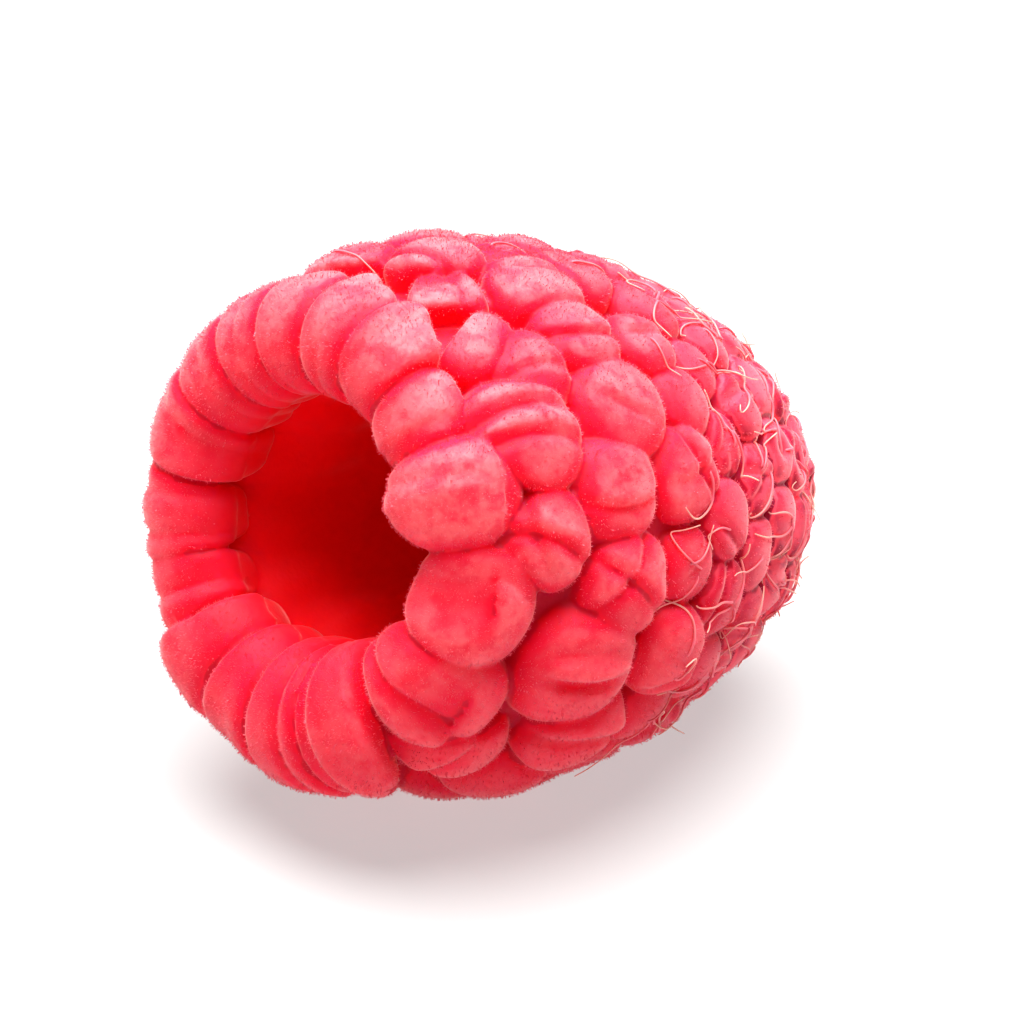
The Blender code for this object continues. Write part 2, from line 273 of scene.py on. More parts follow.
class Seat:
    """The seat, read by the distance over it from the front of the rim: outside is positive."""

    def __init__(self, steps=40):
        self.outline = seat_outline(steps)
        lengths = np.linalg.norm(np.diff(self.outline, axis=0), axis=1)
        along = np.concatenate([[0.0], np.cumsum(lengths)])
        self.along = along - along[np.argmin(self.outline[:, 1])]
        self.tip = self.along[-1]
        self.end = self.along[0]
        slope = np.gradient(self.outline, self.along, axis=0)
        self.slope = slope / np.linalg.norm(slope, axis=1)[:, None]

    def read(self, table, along):
        return np.column_stack([np.interp(along, self.along, column) for column in table.T])

    def radius(self, along):
        return float(np.interp(along, self.along, self.outline[:, 0]))

    def point(self, along, angle, height=0.0):
        """Positions over the seat, with the fruit's axis on Z and the front of the mouth at 0.

        Angles run anticlockwise as seen looking into the mouth.
        """
        slope = self.read(self.slope, along)
        outward = np.column_stack([slope[:, 1], -slope[:, 0]])
        place = self.read(self.outline, along) + outward * np.reshape(height, (-1, 1))
        return np.column_stack([place[:, 0] * np.cos(angle), -place[:, 0] * np.sin(angle), place[:, 1]])

    def nearest(self, spots):
        """Distance over the flank and angle of the seat points nearest to some positions."""
        flank = self.along >= 0
        across = np.hypot(spots[:, 0], spots[:, 1])
        reach = np.hypot(across[:, None] - self.outline[flank, 0], spots[:, 2:] - self.outline[flank, 1])
        return self.along[flank][reach.argmin(axis=1)], np.arctan2(-spots[:, 1], spots[:, 0])

    def raised(self, spots):
        """Height of some positions over the seat, in parts of the height of the drupelets there."""
        across = np.hypot(spots[:, 0], spots[:, 1])
        least, along = np.full(len(spots), np.inf), np.zeros(len(spots))
        for middle, (radius, high) in zip(self.along, self.outline):
            gap = np.hypot(across - radius, spots[:, 2] - high)
            along[gap < least] = middle
            least = np.minimum(least, gap)
        return least / (HEIGHT * width_at(along))


def width_at(along):
    """Drupelets get smaller towards the tip."""
    distance, width = np.array(WIDTHS).T * MM
    return np.interp(along, distance, width)


def turn_to_next(angle):
    """The turn from each drupelet of a row to the next one round."""
    return (np.roll(angle, -1) - angle) % (2 * math.pi)


def crowd(seat):
    """Distance over the seat, angle and width of each drupelet on the flank and the tip."""
    rng = np.random.default_rng(SEED)
    placed = np.array(SET_DRUPELETS) * [MM, math.radians(1), MM]
    placed_spots = seat.point(placed[:, 0], placed[:, 1])
    rows = []
    angle = np.radians([drupelet[0] for drupelet in RIM_DRUPELETS])
    along = FIRST_ROW
    while along < seat.tip - width_at(seat.tip) / 2:
        width = float(width_at(along))
        count = round(2 * math.pi * seat.radius(along) / width)
        if abs(count - len(angle)) > 1:
            angle = angle[0] + 2 * math.pi * np.arange(count) / count
        angle = angle + turn_to_next(angle) / 2
        stray = rng.uniform(-STRAY, STRAY, (2, len(angle))) * width
        spots = seat.point(along + stray[0], angle + stray[1] / seat.radius(along))
        apart = np.linalg.norm(spots[:, None] - placed_spots, axis=2)
        rows.append(spots[(apart > CROWDED * (width + placed[:, 2]) / 2).all(axis=1)])
        along += ROW_PITCH * width
    rows.append(seat.point(np.array([seat.tip]), 0.0))
    return settle(seat, placed, np.vstack(rows))


def settle(seat, placed, spots):
    """Drupelets that are too close push each other apart over the seat, but not the listed ones."""
    placed_spots = seat.point(placed[:, 0], placed[:, 1])
    for _ in range(SETTLE_ROUNDS):
        along, angle = seat.nearest(spots)
        along = np.maximum(along, FIRST_ROW - STRAY * width_at(FIRST_ROW))
        spots = np.vstack([placed_spots, seat.point(along, angle)])
        width = np.append(placed[:, 2], width_at(along))
        away = spots[:, None] - spots[None]
        apart = np.linalg.norm(away, axis=2) + np.eye(len(spots))
        push = np.clip((width[:, None] + width) / 2 - apart, 0, None) / apart
        np.fill_diagonal(push, 0)
        spots = spots + SETTLE_STEP * (push[:, :, None] * away).sum(axis=1)
        spots = spots[len(placed):]
    along, angle = seat.nearest(spots)
    return np.vstack([placed, np.column_stack([along, angle, width_at(along)])])


def unit_ball(subdivisions):
    """Points and triangles of an even ball of radius 1."""
    ball = bmesh.new()
    bmesh.ops.create_icosphere(ball, subdivisions=subdivisions, radius=1.0)
    points = np.array([vert.co[:] for vert in ball.verts])
    faces = np.array([[vert.index for vert in face.verts] for face in ball.faces])
    ball.free()
    return points, faces


def fold(ways, facing, offset, bend, reach, depth):
    """A groove across a drupelet with a low swell beside it, as a change of its size."""
    facing = math.radians(facing)
    across = ways[:, 0] * math.cos(facing) + ways[:, 1] * math.sin(facing)
    along = ways[:, 1] * math.cos(facing) - ways[:, 0] * math.sin(facing)
    line = across - offset - bend * along**2
    height, beside, wide = BANK
    groove = np.exp(-((line / GROOVE) ** 2)) - height * np.exp(-(((line - beside) / wide) ** 2))
    on_top = np.clip(2 * ways[:, 2], 0, 1)
    return -FOLD_STRENGTH * depth * groove * np.exp(-((along / reach) ** 4)) * on_top


def dent(ways, facing, offset, radius, depth):
    """A shallow hollow in a drupelet, as a change of its size."""
    facing = math.radians(facing)
    apart = np.hypot(ways[:, 0] - offset * math.cos(facing), ways[:, 1] - offset * math.sin(facing))
    return -DENT_STRENGTH * depth * np.exp(-((apart / radius) ** 3)) * np.clip(2 * ways[:, 2], 0, 1)


def own_marks(rng):
    """Marks for a drupelet that has none listed, in the order of numbers given above."""
    marks = []
    if rng.random() < OWN_DENT:
        marks.append(("dent", rng.uniform(0, 360), rng.uniform(0, 0.3), rng.uniform(0.25, 0.45),
                      rng.uniform(0.05, 0.12)))
    for _ in range(rng.integers(0, OWN_FOLDS)):
        marks.append(("fold", rng.uniform(0, 360), rng.uniform(-0.1, 0.45), rng.uniform(-0.4, 0.4),
                      rng.uniform(0.6, 1.0), rng.uniform(0.02, 0.06)))
    return marks


def lumps(ways, rng):
    """The low, wide lumps of a soft sac, as a change of its size."""
    change = np.zeros(len(ways))
    for count, tightness, depth in LUMPS:
        for _ in range(count):
            wave = rng.normal(size=3) * tightness
            change += depth * np.sin(ways @ wave + rng.uniform(0, 2 * math.pi))
    return change


def balloon(ball, size, plump, walls, marks, rng):
    """Points of one drupelet about its own middle: a swell of that size, pressed flat by its walls.

    A wall is a direction and the distance at which the neighbour there stops the swell.
    """
    ways = ball * size
    ways /= np.linalg.norm(ways, axis=1)[:, None]
    tight = (np.abs(ways / size) ** plump).sum(axis=1) ** (PRESS_EDGE / plump)
    for toward, distance in walls:
        tight += np.clip(ways @ toward / distance, 0, None) ** PRESS_EDGE
    change = 1 + lumps(ball, rng)
    for kind, *shape in marks:
        change += (fold if kind == "fold" else dent)(ball, *shape)
    return ways * (tight ** (-1 / PRESS_EDGE) * change)[:, None]


def unit(vector):
    return vector / np.linalg.norm(vector)


def rim_balloons(seat, ball, places):
    """The long drupelets, swollen on the unrolled seat and then bent over the rim."""
    drupelets = np.array(RIM_DRUPELETS) * [math.radians(1), MM, MM, MM, 1.0]
    after = turn_to_next(drupelets[:, 0])
    unrolled = RIM_RADIUS + RIM_UNROLL
    shapes = []
    for k, (angle, middle, reach, rise, taper) in enumerate(drupelets):
        rng = np.random.default_rng(SEED + RIM_DRAWS + k)
        gaps = np.array([after[k - 1], after[k]]) * unrolled
        press = FIRM_PRESS if k in RIM_FIRM else PRESS
        long = LONG_ANGLES[0] < math.degrees(angle) < LONG_ANGLES[1]
        lift = LONG_LIFT if long else -RIM_SINK
        size = np.array([reach, (LONG_SWELL if long else RIM_SWELL) * gaps.mean(), rise - lift])
        walls = [(np.array([0.0, -1.0, 0.0]), press * gaps[0] / 2),
                 (np.array([0.0, 1.0, 0.0]), press * gaps[1] / 2)]
        for along, other, width in places:
            turn = (other - angle + math.pi) % (2 * math.pi) - math.pi
            way = np.array([along - middle, turn * seat.radius(along), 0.0])
            gap = np.linalg.norm(way)
            if k not in RIM_FIRM and way[0] > STOP_AHEAD * gap and gap < reach + STOP_REACH * width:
                walls.append((way / gap, max(gap - STOP_SHORT * width, STOP_LEAST * gap)))
        marks = RIM_MARKS.get(k, own_marks(rng))
        points = balloon(ball, size, FIRM_RIM_PLUMP if k in RIM_FIRM else RIM_PLUMP, walls, marks, rng)
        inward = np.clip(-points[:, 0] / reach, 0, 1) ** NARROWING_BEND
        outward = np.clip(points[:, 0] / reach, 0, 1) ** NARROWING_BEND
        points[:, 1] *= 1 - MOUTH_NARROWING * taper * inward - FLANK_NARROWING * long * outward
        height = points[:, 2] * (1 - taper * inward) + lift * (1 - inward)
        shapes.append(seat.point(middle + points[:, 0], angle + points[:, 1] / unrolled,
                                 np.maximum(height, DEEPEST)))
    return shapes


def round_balloons(seat, ball, places):
    """The drupelets of the flank and the tip."""
    rim = np.array(RIM_DRUPELETS) * [math.radians(1), MM, MM, MM, 1.0]
    rim_width = turn_to_next(rim[:, 0]) * RIM_RADIUS
    rim_ends = seat.point(rim[:, 1] + rim[:, 2] - rim_width / 2, rim[:, 0])
    middles = seat.point(places[:, 0], places[:, 1])
    centres = np.vstack([middles, rim_ends])
    widths = np.append(places[:, 2], rim_width)
    shapes = []
    for k, (along, angle, width) in enumerate(places):
        rng = np.random.default_rng(SEED + ROUND_DRAWS + k)
        middle, above = seat.point(np.array([along, along]), angle, [-SINK * width, 0.0])
        around = np.array([-math.sin(angle), -math.cos(angle), 0.0])
        outward = unit(above - middle)
        axes = np.array([np.cross(around, outward), around, outward])
        press = FIRM_PRESS if k in SET_FIRM else PRESS
        walls = []
        for other, other_width in zip(centres, widths):
            way = other - middles[k]
            gap = np.linalg.norm(way)
            if 0 < gap < NEIGHBOUR * (width + other_width):
                walls.append((unit(axes @ way), press * gap * width / (width + other_width)))
        half = FREE_SWELL * width
        rise = (HEIGHT + SINK) * width * rng.uniform(1 - HEIGHT_STRAY, 1 + HEIGHT_STRAY)
        size = np.array([half, half, rise])
        marks = SET_MARKS.get(k, own_marks(rng)) if k < len(SET_DRUPELETS) else own_marks(rng)
        shapes.append(middle + balloon(ball, size, PLUMP, walls, marks, rng) @ axes)
    return shapes


def thimble_wall(seat, sides=240, rings=300):
    """The closed wall of flesh under the drupelets, turned about the axis.

    Inside the hollow it keeps the low bumps and flutes that the stalk's core has printed on it.
    """
    rng = np.random.default_rng(SEED + HOLLOW_DRAWS)
    along = np.linspace(seat.end, seat.tip, rings)
    angle = 2 * math.pi * np.arange(sides) / sides
    along_grid, angle_grid = (grid.ravel() for grid in np.meshgrid(along, angle, indexing="ij"))
    sway = FLUTE_SWAY[0] * np.sin(along_grid / FLUTE_SWAY[1])
    print_depth = FLUTE_DEPTH * np.cos(FLUTES * angle_grid + sway)
    for _ in range(BUMPS):
        turns = rng.integers(2, 11)
        print_depth += BUMP_DEPTH * np.sin(turns * angle_grid + rng.uniform(0, ANY_START)
                                           + along_grid / MM * rng.uniform(-2.2, 2.2))
    inside = share(-along_grid, 1.2 * MM, 3.2 * MM) * share(along_grid, seat.end, seat.end + 3 * MM)
    points = seat.point(along_grid, angle_grid, print_depth * inside - WALL_SINK)
    ring = np.arange(sides)
    rows = np.arange(len(along) - 1)[:, None] * sides
    a = (rows + ring).ravel()
    b = (rows + (ring + 1) % sides).ravel()
    faces = np.vstack([np.column_stack([a, b, b + sides]), np.column_stack([a, b + sides, a + sides])])
    return points, faces


def mesh_from(name, points, faces):
    mesh = bpy.data.meshes.new(name)
    mesh.vertices.add(len(points))
    mesh.vertices.foreach_set("co", np.ascontiguousarray(points, dtype=np.float32).ravel())
    mesh.loops.add(faces.size)
    mesh.loops.foreach_set("vertex_index", faces.astype(np.int32).ravel())
    mesh.polygons.add(len(faces))
    mesh.polygons.foreach_set("loop_start", (np.arange(len(faces)) * faces.shape[1]).astype(np.int32))
    mesh.update(calc_edges=True)
    mesh.validate()
    return mesh


def new_piece(name, mesh, material):
    piece = bpy.data.objects.new(name, mesh)
    bpy.context.scene.collection.objects.link(piece)
    mesh.materials.append(material)
    mesh.shade_smooth()
    return piece


def applied(piece):
    """The piece's mesh with its modifiers applied."""
    bpy.context.view_layer.update()
    return bpy.data.meshes.new_from_object(piece.evaluated_get(bpy.context.evaluated_depsgraph_get()))


def points_of(mesh):
    points = np.empty(len(mesh.vertices) * 3, dtype=np.float32)
    mesh.vertices.foreach_get("co", points)
    return points.reshape(-1, 3).astype(float)


def grown_skin(shapes, faces, wall):
    """All drupelets and the wall grown together into one closed skin."""
    points, triangles, start = [wall[0]], [wall[1]], len(wall[0])
    for shape in shapes:
        points.append(shape)
        triangles.append(faces + start)
        start += len(shape)
    loose = bpy.data.objects.new("loose", mesh_from("loose", np.vstack(points), np.vstack(triangles)))
    bpy.context.scene.collection.objects.link(loose)
    grow = loose.modifiers.new("grow_together", "REMESH")
    grow.mode = "VOXEL"
    grow.voxel_size = SKIN_VOXEL
    soften = loose.modifiers.new("soften", "SMOOTH")
    soften.factor = 0.5
    soften.iterations = 3
    loose.data = applied(loose)
    loose.modifiers.clear()
    thin = loose.modifiers.new("thin_out", "DECIMATE")
    thin.ratio = min(1.0, SKIN_TRIANGLES / (2 * len(loose.data.polygons)))
    thin.use_collapse_triangulate = True
    mesh = applied(loose)
    bpy.data.objects.remove(loose)
    return mesh


def linear(hex_colour):
    """An sRGB hex colour as linear red, green, blue and alpha."""
    parts = [int(hex_colour[k:k + 2], 16) / 255 for k in (1, 3, 5)]
    return tuple(p / 12.92 if p <= 0.04045 else ((p + 0.055) / 1.055) ** 2.4 for p in parts) + (1.0,)


def add_node(tree, kind, inputs=None, **settings):
    """A shader node with its settings, and its inputs set to values or linked to sockets."""
    node = tree.nodes.new("ShaderNode" + kind)
    for name, value in settings.items():
        setattr(node, name, value)
    for name, value in (inputs or {}).items():
        if isinstance(value, bpy.types.NodeSocket):
            tree.links.new(value, node.inputs[name])
        else:
            node.inputs[name].default_value = value
    return node


def new_material(name):
    material = bpy.data.materials.new(name)
    material.use_nodes = True
    tree = material.node_tree
    tree.nodes.clear()
    return material, tree


def edges_of(mesh):
    edges = np.empty(len(mesh.edges) * 2, dtype=np.int32)
    mesh.edges.foreach_get("vertices", edges)
    return edges.reshape(-1, 2)


def spread(values, edges, rounds):
    """Values at the points, evened out with their neighbours along the edges."""
    count = np.bincount(edges.ravel(), minlength=len(values))
    for _ in range(rounds):
        total = np.bincount(edges[:, 0], values[edges[:, 1]], len(values))
        total += np.bincount(edges[:, 1], values[edges[:, 0]], len(values))
        values = 0.5 * values + 0.5 * total / np.maximum(count, 1)
    return values


def hollowness(mesh):
    """How far each point lies in a crease, a fold or a dent: above 0 there, below 0 on swells."""
    points = points_of(mesh)
    edges = edges_of(mesh)
    normals = np.empty(len(points) * 3, dtype=np.float32)
    mesh.vertex_normals.foreach_get("vector", normals)
    normals = normals.reshape(-1, 3)
    count = np.maximum(np.bincount(edges.ravel(), minlength=len(points)), 1)
    length = np.linalg.norm(points[edges[:, 0]] - points[edges[:, 1]], axis=1)
    mean_length = (np.bincount(edges[:, 0], length, len(points))
                   + np.bincount(edges[:, 1], length, len(points))) / count
    middle = np.empty_like(points)
    for axis in range(3):
        total = np.bincount(edges[:, 0], points[edges[:, 1], axis], len(points))
        total += np.bincount(edges[:, 1], points[edges[:, 0], axis], len(points))
        middle[:, axis] = total / count
    return ((middle - points) * normals).sum(axis=1) / mean_length**2 * MM


def add_attribute(mesh, name, values):
    attribute = mesh.attributes.new(name, "FLOAT", "POINT")
    attribute.data.foreach_set("value", np.ascontiguousarray(values, dtype=np.float32))


def raspberry_skin():
    """Skin of a ripe raspberry: thin, red to its depth and full of juice, so light glows in it.

    Its down makes it dull and velvety and paler where it is seen from the side. A pale down colour is
    painted on the swells, partly as a painted highlight on the drupelets' tops, and thinned on the
    underside as painted shade. Creases and the drupelets' feet are painted a darker red as shade, the wall
    of the hollow is bare, and towards the tip a darker, bluer red is painted as shade, with a painted sheen
    round each drupelet.
    """
    material, tree = new_material("ripe_raspberry_skin")
    place = add_node(tree, "TexCoord").outputs["Object"]
    crease = add_node(tree, "Attribute", attribute_name="crease").outputs["Fac"]
    swell = add_node(tree, "Attribute", attribute_name="swell").outputs["Fac"]
    hollow = add_node(tree, "Attribute", attribute_name="hollow").outputs["Fac"]
    tipward = add_node(tree, "Attribute", attribute_name="tipward").outputs["Fac"]

    # Clouds of ripeness 3.5 mm across, larger than the drupelets as they are on the fruit
    cloud = add_node(tree, "TexNoise", {"Vector": place, "Scale": 1 / (3.5 * MM), "Detail": 3.0})
    riper = add_node(tree, "MapRange", {"Value": cloud.outputs["Fac"], "From Min": 0.35, "From Max": 0.65},
                     interpolation_type="SMOOTHSTEP")
    colour = add_node(tree, "Mix", {0: riper.outputs["Result"], 6: linear("#E4063A"), 7: linear("#EE0E42")},
                      data_type="RGBA")

    # The down lies unevenly, in flecks 0.4 mm across: twice those of the fruit, so that they show.
    # It is rubbed thin in patches 1.1 mm across, as handling leaves it
    fleck = add_node(tree, "TexNoise", {"Vector": place, "Scale": 1 / (0.40 * MM), "Detail": 3.0,
                                        "Roughness": 0.6})
    flecked = add_node(tree, "MapRange", {"Value": fleck.outputs["Fac"], "From Min": 0.0,
                                          "From Max": 0.66}, interpolation_type="SMOOTHSTEP")
    patch = add_node(tree, "TexNoise", {"Vector": place, "Scale": 1 / (1.1 * MM), "Detail": 3.0,
                                        "Roughness": 0.6})
    rubbed = add_node(tree, "MapRange", {"Value": patch.outputs["Fac"], "From Min": 0.34, "From Max": 0.54,
                                         "To Min": 0.35, "To Max": 1.0}, interpolation_type="SMOOTHSTEP")
    down_flecks_and_painted_light = add_node(tree, "Math", {0: flecked.outputs["Result"], 1: rubbed.outputs["Result"]},
                     operation="MULTIPLY")
    # The pale down lies only on the swells, so it is partly down and partly a painted highlight on the
    # drupelets' tops, thinned on the underside as painted shade
    down_flecks_and_painted_light = add_node(tree, "Math", {0: down_flecks_and_painted_light.outputs[0], 1: swell}, operation="MULTIPLY")
    colour = add_node(tree, "Mix", {0: down_flecks_and_painted_light.outputs[0], 6: colour.outputs[2], 7: linear("#FC7880")},
                      data_type="RGBA")

    # Painted shade: creases and the drupelets' feet are painted a darker red, darkest in the most hollow
    # creases
    painted_crease_shade = add_node(tree, "MapRange", {"Value": crease, "From Min": 0.0, "From Max": 0.30},
                         interpolation_type="SMOOTHSTEP")
    colour = add_node(tree, "Mix", {0: painted_crease_shade.outputs["Result"], 6: colour.outputs[2],
                                    7: linear("#EC0038")}, data_type="RGBA")
    painted_deep_crease_shade = add_node(tree, "MapRange", {"Value": crease, "From Min": 0.25, "From Max": 0.70},
                       interpolation_type="SMOOTHSTEP")
    colour = add_node(tree, "Mix", {0: painted_deep_crease_shade.outputs["Result"], 6: colour.outputs[2],
                                    7: linear("#D40034")}, data_type="RGBA")

    # Painted shade: towards the tip the drupelets are painted a darker, bluer red
    colour = add_node(tree, "Mix", {0: tipward, 6: colour.outputs[2], 7: linear("#A0003A")},
                      data_type="RGBA")
    # A painted sheen: a pale edge is painted round each drupelet towards the tip, as the down looks where
    # it is seen from the side
    outer = add_node(tree, "MapRange", {"Value": crease, "From Min": -0.50, "From Max": -0.20})
    inner = add_node(tree, "MapRange", {"Value": crease, "From Min": 0.35, "From Max": 0.05})
    edge = add_node(tree, "Math", {0: outer.outputs["Result"], 1: inner.outputs["Result"]},
                    operation="MULTIPLY")
    edge = add_node(tree, "Math", {0: edge.outputs[0], 1: tipward}, operation="MULTIPLY")
    colour = add_node(tree, "Mix", {0: edge.outputs[0], 6: colour.outputs[2], 7: linear("#F4586E")},
                      data_type="RGBA")
    colour = add_node(tree, "Mix", {0: hollow, 6: colour.outputs[2], 7: linear("#F80018")},
                      data_type="RGBA")

    # Pores 0.13 mm across and swells 0.4 mm across, both low, break up the shine of the sacs
    grain = add_node(tree, "TexNoise", {"Vector": place, "Scale": 1 / (0.13 * MM), "Detail": 2.0})
    bump = add_node(tree, "Bump", {"Height": fleck.outputs["Fac"], "Strength": 0.35, "Distance": 0.06 * MM})
    bump = add_node(tree, "Bump", {"Height": grain.outputs["Fac"], "Strength": 0.4, "Distance": 0.02 * MM,
                                   "Normal": bump.outputs["Normal"]})
    shader = add_node(tree, "BsdfPrincipled", {
        "Base Color": colour.outputs[2], "Roughness": 0.60, "IOR": 1.36, "Normal": bump.outputs["Normal"],
        "Subsurface Weight": 1.0, "Subsurface Radius": (1.0, 0.07, 0.07), "Subsurface Scale": 2.6 * MM,
        "Sheen Weight": 0.75, "Sheen Roughness": 0.34, "Sheen Tint": linear("#FFCCC4")})
    add_node(tree, "OutputMaterial", {"Surface": shader.outputs[0]})
    return material


def raspberry_down():
    """The down of a raspberry: clear hairs that take on the red behind them, a soft edge to it."""
    material, tree = new_material("raspberry_down")
    place = add_node(tree, "TexCoord").outputs["Object"]
    cloud = add_node(tree, "TexNoise", {"Vector": place, "Scale": 1 / (2.5 * MM)})
    colour = add_node(tree, "Mix", {0: cloud.outputs["Fac"], 6: linear("#F45870"), 7: linear("#FC8090")},
                      data_type="RGBA")
    shader = add_node(tree, "BsdfPrincipled", {"Base Color": colour.outputs[2], "Roughness": 0.45,
                                               "IOR": 1.5})
    add_node(tree, "OutputMaterial", {"Surface": shader.outputs[0]})
    return material


def dried_style():
    """The dried styles of a raspberry: thin threads, pink where they grow and straw-coloured out."""
    material, tree = new_material("dried_raspberry_style")
    place = add_node(tree, "TexCoord").outputs["Object"]
    outward = add_node(tree, "Attribute", attribute_name="outward").outputs["Fac"]
    cloud = add_node(tree, "TexNoise", {"Vector": place, "Scale": 1 / (1.2 * MM), "Detail": 2.0})
    dryness = add_node(tree, "Math", {0: outward, 1: cloud.outputs["Fac"]}, operation="MULTIPLY")
    dry = add_node(tree, "MapRange", {"Value": dryness.outputs[0], "From Min": 0.12, "From Max": 0.45})
    colour = add_node(tree, "Mix", {0: dry.outputs["Result"], 6: linear("#F27080"), 7: linear("#F6B0A4")},
                      data_type="RGBA")
    shader = add_node(tree, "BsdfPrincipled", {
        "Base Color": colour.outputs[2], "Roughness": 0.5, "IOR": 1.5, "Subsurface Weight": 0.4,
        "Subsurface Radius": (1.0, 0.5, 0.3), "Subsurface Scale": 0.2 * MM})
    add_node(tree, "OutputMaterial", {"Surface": shader.outputs[0]})
    return material


def surface_of(mesh):
    """Corners, normals and areas of the mesh's triangles, and the corners' point numbers."""
    mesh.calc_loop_triangles()
    corners = np.empty(len(mesh.loop_triangles) * 3, dtype=np.int32)
    mesh.loop_triangles.foreach_get("vertices", corners)
    corners = corners.reshape(-1, 3)
    points = points_of(mesh)[corners]
    cross = np.cross(points[:, 1] - points[:, 0], points[:, 2] - points[:, 0])
    area = np.linalg.norm(cross, axis=1) / 2
    return corners, points, cross / (2 * area[:, None] + 1e-20), area


def scattered(rng, points, weight, count):
    """Triangle numbers and places for seeds scattered by weight."""
    chosen = rng.choice(len(points), count, p=weight / weight.sum())
    parts = rng.dirichlet((1, 1, 1), count)
    return chosen, (points[chosen] * parts[:, :, None]).sum(axis=1)


def down_mesh(mesh, bare, count):
    """Short bent hairs, each a thin blade of two triangles."""
    rng = np.random.default_rng(SEED + DOWN_DRAWS)
    corners, points, normals, area = surface_of(mesh)
    weight = area * np.clip(1 - bare[corners].mean(axis=1), 0, 1)
    weight *= points[:, :, 2].mean(axis=1) > DOWN_LOWEST
    chosen, root = scattered(rng, points, weight, count)
    rise = normals[chosen] + rng.normal(scale=DOWN_LEAN, size=(count, 3))
    rise /= np.linalg.norm(rise, axis=1)[:, None]
    droop = rng.normal(scale=DOWN_DROOP, size=(count, 3))
    length = rng.uniform(*DOWN_LENGTH, count)[:, None]
    side = np.cross(rise, rng.normal(size=(count, 3)))
    side *= DOWN_HALF_WIDTH / np.linalg.norm(side, axis=1)[:, None]
    middle = root + DOWN_BEND * length * rise
    hang = (rise + droop) / np.linalg.norm(rise + droop, axis=1)[:, None]
    end = middle + (1 - DOWN_BEND) * length * hang
    root = root - DOWN_ROOT * normals[chosen]
    verts = np.stack([root - side, root + side, middle + 0.8 * side, end], axis=1).reshape(-1, 3)
    first = 4 * np.arange(count)[:, None]
    faces = np.vstack([first + [0, 1, 2], first + [0, 2, 3]])
    return verts, faces


def bent(path, rounds):
    """The path with its kinks evened out, its two ends kept."""
    for _ in range(rounds):
        path[1:-1] = 0.5 * path[1:-1] + 0.25 * (path[:-2] + path[2:])
    return path


def style_path(rng, surface, root, length, stand):
    """A curling thread that wanders over the skin from its root and stands off it at the end."""
    spot, normal = (np.array(v) for v in surface.find_nearest(Vector(root))[:2])
    heading = np.cross(normal, rng.normal(size=3))
    curl = rng.normal(scale=STYLE_CURL)
    step = length / STYLE_STEPS
    path = [spot - STYLE_ROOT * normal, spot + STYLE_NECK * normal]
    for k in range(STYLE_STEPS):
        heading -= heading @ normal * normal
        heading /= np.linalg.norm(heading)
        turn = (curl + rng.normal(scale=STYLE_WANDER)) * step
        heading = heading * math.cos(turn) + np.cross(normal, heading) * math.sin(turn)
        found = surface.find_nearest(Vector(spot + step * heading))
        spot, normal = np.array(found[0]), np.array(found[1])
        path.append(spot + normal * (STYLE_HEIGHT + stand * (k / STYLE_STEPS) ** 2))
    path = bent(np.array(path), 4)
    for k in range(2, len(path)):
        found = surface.find_nearest(Vector(path[k]))
        gap = (path[k] - np.array(found[0])) @ np.array(found[1])
        path[k] += max(0.0, STYLE_CLEAR - gap) * np.array(found[1])
    path[:, 2] = np.maximum(path[:, 2], cad_low[2] + STYLE_HEIGHT)
    return bent(path, 1)


def tube(path, radius, sides):
    """Points and triangles of a closed thread along a path, thinner towards its end."""
    ahead = np.gradient(path, axis=0)
    ahead /= np.linalg.norm(ahead, axis=1)[:, None]
    across = np.cross(ahead, [0.31, 0.52, 0.79])  # any direction that no path follows
    across /= np.linalg.norm(across, axis=1)[:, None]
    other = np.cross(ahead, across)
    turn = 2 * math.pi * np.arange(sides) / sides
    thick = radius * np.linspace(1.0, STYLE_THIN_END, len(path))
    ring = across[:, None] * np.cos(turn)[:, None] + other[:, None] * np.sin(turn)[:, None]
    points = (path[:, None] + ring * thick[:, None, None]).reshape(-1, 3)
    points = np.vstack([points, path[0], path[-1] + ahead[-1] * thick[-1]])
    faces = []
    for k in range(len(path) - 1):
        for s in range(sides):
            a, b = k * sides + s, k * sides + (s + 1) % sides
            faces += [(a, b, b + sides), (a, b + sides, a + sides)]
    last = (len(path) - 1) * sides
    for s in range(sides):
        faces.append((len(points) - 2, (s + 1) % sides, s))
        faces.append((len(points) - 1, last + s, last + (s + 1) % sides))
    return points, np.array(faces)


def style_threads(surface, tops):
    """The dried styles: on most drupelets near the tip, and on few of the others."""
    rng = np.random.default_rng(SEED + STYLE_DRAWS)
    points, faces, outward, start = [], [], [], 0
    for along, top in tops:
        nearness = share(along, *STYLE_ZONE)
        for _ in range(rng.binomial(STYLES_MOST, STYLE_CHANCES[0] + STYLE_CHANCES[1] * nearness)):
            root = top + rng.normal(scale=0.25 * MM, size=3)
            stand = rng.uniform(0, 0.25) ** 2 * STYLE_STAND
            length = rng.uniform(*STYLE_LENGTH) * MM
            path = style_path(rng, surface, root, length, stand)
            verts, triangles = tube(path, rng.uniform(*STYLE_RADIUS) * MM, STYLE_SIDES)
            points.append(verts)
            faces.append(triangles + start)
            ring = np.repeat(np.linspace(0, 1, len(path)), STYLE_SIDES)
            outward.append(np.append(ring, [0.0, 1.0]))
            start += len(verts)
    return np.vstack(points), np.vstack(faces), np.concatenate(outward)


seat = Seat()
ball, ball_faces = unit_ball(5)
places = crowd(seat)
shapes = rim_balloons(seat, ball, places) + round_balloons(seat, ball, places)
skin_mesh = grown_skin(shapes, ball_faces, thimble_wall(seat))

